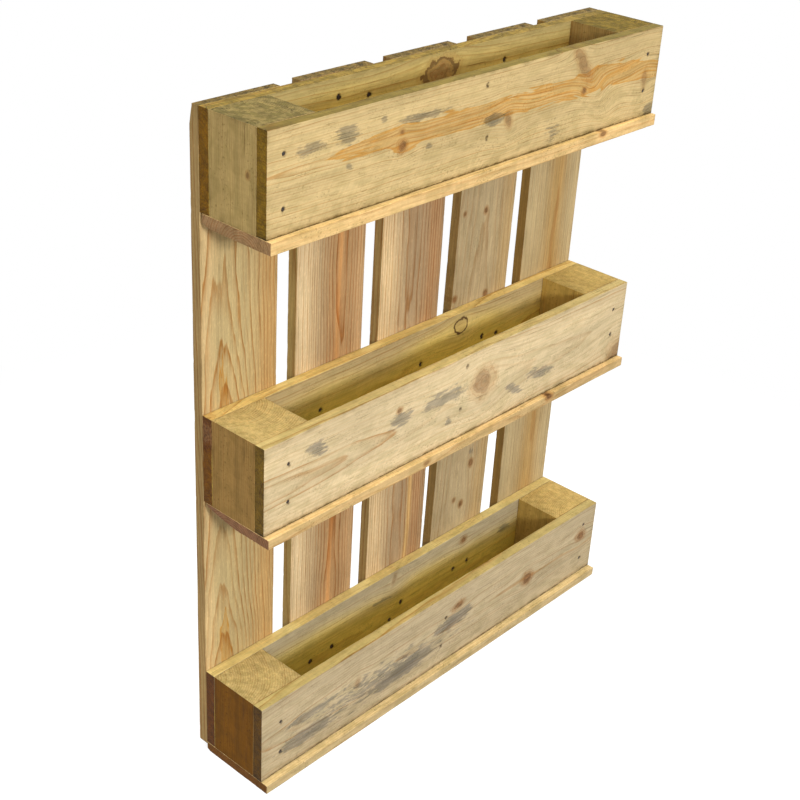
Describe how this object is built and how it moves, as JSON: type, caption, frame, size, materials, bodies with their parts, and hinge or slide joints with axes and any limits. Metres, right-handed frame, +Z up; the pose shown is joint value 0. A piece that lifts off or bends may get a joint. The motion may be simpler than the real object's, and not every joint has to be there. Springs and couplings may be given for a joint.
{
  "type": "pallet planter",
  "caption": "Upright wooden planter made from a cut-down pallet: spaced back slats carry open troughs one above another, each with a front lip.",
  "frame": {"origin": "on the ground, under the middle of the planter's bounding box", "axes": "+Z up, -Y towards the front of the troughs, +X to the right as seen from the front"},
  "size_m": [0.8, 0.149, 0.994],
  "materials": {
    "slat_pine": "sawn and lightly sanded, pinkish brown",
    "board_pine": "sanded reclaimed pine, pale cream yellow with knots and grey stain",
    "floor_pine": "sawn pine, yellow orange",
    "block_pine": "sawn pine with end grain on top",
    "nail_steel": "dark weathered steel"
  },
  "bodies": {
    "root": {"back_slat_1": "slat_pine", "back_slat_2": "slat_pine", "back_slat_3": "slat_pine", "back_slat_4": "slat_pine", "back_slat_5": "slat_pine", "bottom_back_board": "board_pine", "bottom_front_board": "board_pine", "bottom_floor_board": "floor_pine", "bottom_left_block": "block_pine", "bottom_right_block": "block_pine", "bottom_front_nails": "nail_steel", "bottom_corner_nails": "nail_steel", "bottom_slat_nails": "nail_steel", "bottom_floor_nails": "nail_steel", "middle_back_board": "board_pine", "middle_front_board": "board_pine", "middle_floor_board": "floor_pine", "middle_left_block": "block_pine", "middle_right_block": "block_pine", "middle_front_nails": "nail_steel", "middle_corner_nails": "nail_steel", "middle_slat_nails": "nail_steel", "middle_floor_nails": "nail_steel", "top_back_board": "board_pine", "top_front_board": "board_pine", "top_floor_board": "floor_pine", "top_left_block": "block_pine", "top_right_block": "block_pine", "top_front_nails": "nail_steel", "top_corner_nails": "nail_steel", "top_slat_nails": "nail_steel", "top_floor_nails": "nail_steel"}
  },
  "joints": []
}
